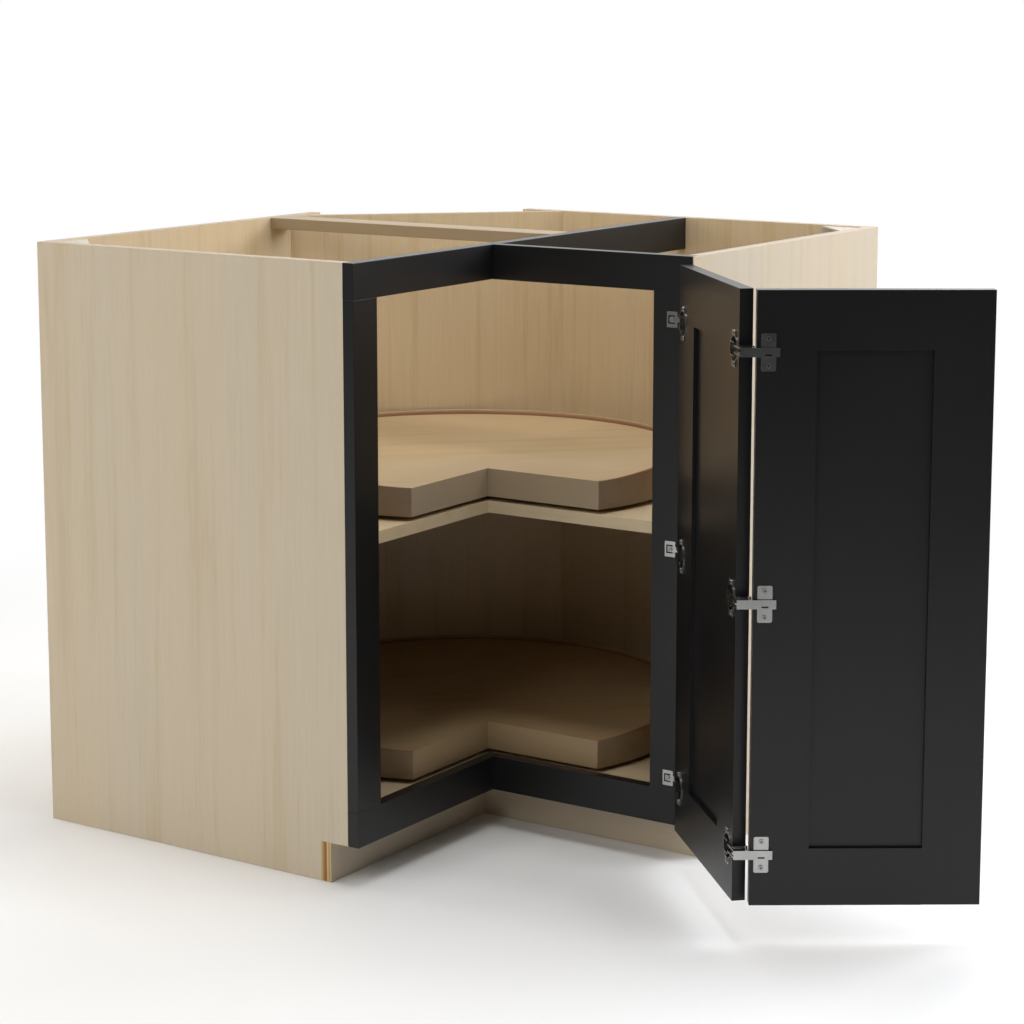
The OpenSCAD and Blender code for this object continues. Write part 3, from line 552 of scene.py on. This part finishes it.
def foldHingeShade():
    # painted shade: a dark cross in each screw of the folding leaf's plates, and a dark strip in the slot
    # of each arm; the leaf's width runs along the first right singular vector of its panel's plan
    plan = mergedForm("folding_leaf_panel")[0][:, :2]
    alongLeaf = np.append(np.linalg.svd(plan - plan.mean(axis=0))[2][0], 0)
    outward = np.cross(upward, alongLeaf)
    toPlates = mergedForm("fold_hinge_plates")[0].mean(axis=0) - np.append(plan.mean(axis=0), 0)
    outward *= np.sign(toPlates @ outward)
    for screw in clusters("fold_plate_screws", search["screws"]):
        at, height = (screw @ alongLeaf).mean(), (screw[:, 2].min() + screw[:, 2].max()) / 2
        middle = alongLeaf * at + upward * height + outward * (screw @ outward).max()
        yield bar(middle, alongLeaf, upward, recess["cross"], outward)
        yield bar(middle, upward, alongLeaf, recess["cross"], outward)
    for screw, plate in hingesOf("fold"):
        at = (screw @ alongLeaf).mean()
        fromScrews = np.abs(plate @ alongLeaf - at)
        top = (plate[fromScrews < search["armNear"]] @ outward).max()
        arm = plate[(plate @ outward > top - search["level"]) & (fromScrews < search["armAll"])]
        low, high = arm[:, 2].min(), arm[:, 2].max()
        height = low + (high - low) * search["slotHigh"]
        middle = alongLeaf * at + upward * height + outward * (arm @ outward).max()
        yield bar(middle, alongLeaf, upward, recess["arm"], outward)


# dark strips of painted shade on the frame's plates and on the folding leaf's hinges
paintedShadeStrips("frame_plate_painted_shade", list(plateSlotShade()), "cabinet")
paintedShadeStrips("fold_plate_painted_shade", list(foldHingeShade()), "folding_leaf")
print("marks in the metal made")

# ---------- floor, light and camera ----------

# the photograph's view: lens in mm on a 36 mm sensor, place in metres, angles in degrees
view = {"lens": 92.03, "sensor": 36, "clip": (0.1, 200), "place": (2.7006, -3.7154, 1.2286),
        "turn": 33.648, "down": 8.93, "shift": -0.1}
away = (-math.sin(math.radians(view["turn"])), math.cos(math.radians(view["turn"])), 0.0)
# distances from the middle of the cabinet are in metres, and negative ones lie in front of it: the
# floor fades to white over fade; in gloss it is white behind whiteBehind and unlit beyond unlit
studio = {
    "middle": (0.6, -0.6, 0.0), "aim": (0.6, -0.6, 0.4), "floorHalf": 40.0, "floorDrop": 0.0004,
    "floorTone": 245, "floorSpeck": 2, "unlitTone": 12, "ambient": 0.07,
    "fade": (1.2, 2.4), "whiteBehind": (-0.6, 0.8), "unlit": (-2.0, -4.5), "skyBehind": (-0.1, 0.5),
    "warm": (1.0, 0.972, 0.925), "cool": (0.985, 1.0, 1.04), "plain": (1.0, 1.0, 1.0),
}
# soft square lamps that all aim at the cabinet: place, width, power and tint
lamps = {
    "rightLow": ((3.6, -0.4, 1.8), 2.0, 12, "cool"), "rightHigh": ((2.6, -0.2, 3.2), 1.8, 26, "cool"),
    "rightBehind": ((3.0, 1.8, 2.4), 2.0, 88, "cool"), "behind": ((0.4, 3.2, 2.6), 2.0, 33, "plain"),
    "above": ((0.6, -0.6, 3.8), 1.6, 57, "plain"), "frontHigh": ((0.6, -3.8, 3.0), 2.0, 35, "warm"),
    "frontLeft": ((-1.6, -3.6, 1.6), 2.4, 39, "warm"), "left": ((-3.4, -0.8, 2.2), 2.0, 49, "warm"),
}


def rays(g, share):
    # 1 for what the camera sees, also through glass, and in gloss as far as share says
    light = g.node("ShaderNodeLightPath").outputs
    seen = g.maths("MAXIMUM", light["Is Camera Ray"], light["Is Transmission Ray"])
    return g.maths("MAXIMUM", seen, g.maths("MULTIPLY", light["Is Glossy Ray"], share))


def makeFloor():
    # a flat square whose tone fades into the white background with distance; in gloss the
    # fade shows behind the object only, because the studio's front is unlit
    corners = np.array([[-1, -1, 0], [1, -1, 0], [1, 1, 0], [-1, 1, 0]]) * studio["floorHalf"]
    corners = corners - [0, 0, studio["floorDrop"]]
    mesh = bpy.data.meshes.new("floor")
    mesh.from_pydata(corners.tolist(), [], [(0, 1, 2, 3)])
    floor = bpy.data.objects.new("floor", mesh)
    bpy.context.scene.collection.objects.link(floor)
    g = Graph("paleFloor")
    offset = g.vector("SUBTRACT", g.place, studio["middle"]).outputs[0]
    reach = g.vector("LENGTH", offset).outputs["Value"]
    behind = g.vector("DOT_PRODUCT", offset, away).outputs["Value"]
    speck, tone = g.noise(g.place, 3, 2), studio["floorTone"]
    pale = g.blend(speck, tone - studio["floorSpeck"], tone + studio["floorSpeck"])
    gloss = g.node("ShaderNodeLightPath").outputs["Is Glossy Ray"]
    unlit = g.maths("MULTIPLY", g.span(behind, *studio["unlit"]), gloss)
    g.finish(Base_Color=g.blend(unlit, pale, studio["unlitTone"]), Roughness=0.55)
    white = g.node("ShaderNodeEmission", {0: (1, 1, 1, 1), 1: 1.0}).outputs[0]
    seen = rays(g, g.span(behind, *studio["whiteBehind"]))
    share = g.maths("MULTIPLY", g.span(reach, *studio["fade"]), seen)
    mix = g.node("ShaderNodeMixShader", {0: share, 1: g.shader.outputs[0], 2: white})
    g.tree.links.new(mix.outputs[0], g.tree.nodes["Material Output"].inputs[0])
    mesh.materials.append(g.material)


class Sky(Graph):
    # the same short way to write the world's tree
    def __init__(self, name):
        self.world = bpy.data.worlds.new(name)
        self.world.use_nodes = True
        self.tree = self.world.node_tree
        self.soft = self.tree.nodes["Background"]
        self.direction = self.tree.nodes.new("ShaderNodeTexCoord").outputs["Generated"]


def makeWorld():
    # soft light from all round; the camera sees white, and so does gloss towards the backdrop
    g = Sky("studio")
    bpy.context.scene.world = g.world
    g.soft.inputs[0].default_value, g.soft.inputs[1].default_value = (1, 1, 1, 1), studio["ambient"]
    white = g.node("ShaderNodeBackground", {0: (1, 1, 1, 1), 1: 1.0}).outputs[0]
    behind = g.vector("DOT_PRODUCT", g.direction, away).outputs["Value"]
    seen = rays(g, g.span(behind, *studio["skyBehind"]))
    mix = g.node("ShaderNodeMixShader", {0: seen, 1: g.soft.outputs[0], 2: white})
    g.tree.links.new(mix.outputs[0], g.tree.nodes["World Output"].inputs[0])


def softLamp(name, place, width, power, tint):
    lamp = bpy.data.lights.new(name, "AREA")
    lamp.shape, lamp.size, lamp.energy, lamp.color = "SQUARE", width, power, studio[tint]
    thing = bpy.data.objects.new(name, lamp)
    thing.location = place
    aim = Vector(studio["aim"]) - thing.location
    thing.rotation_euler = aim.to_track_quat("-Z", "Y").to_euler()
    thing.visible_glossy = name != "frontLeft"  # it lights the wood, but the black fronts mirror no lamp
    bpy.context.scene.collection.objects.link(thing)


makeFloor()
makeWorld()
for name, (place, width, power, tint) in lamps.items():
    softLamp(name, place, width, power, tint)

lens = bpy.data.cameras.new("camera")
lens.lens, lens.sensor_width, lens.shift_y = view["lens"], view["sensor"], view["shift"]
lens.clip_start, lens.clip_end = view["clip"]
camera = bpy.data.objects.new("camera", lens)
camera.location = view["place"]
camera.rotation_euler = (math.radians(90 - view["down"]), 0, math.radians(view["turn"]))
bpy.context.scene.collection.objects.link(camera)
bpy.context.scene.camera = camera
bpy.context.scene.view_settings.view_transform = "Standard"
print("studio ready")
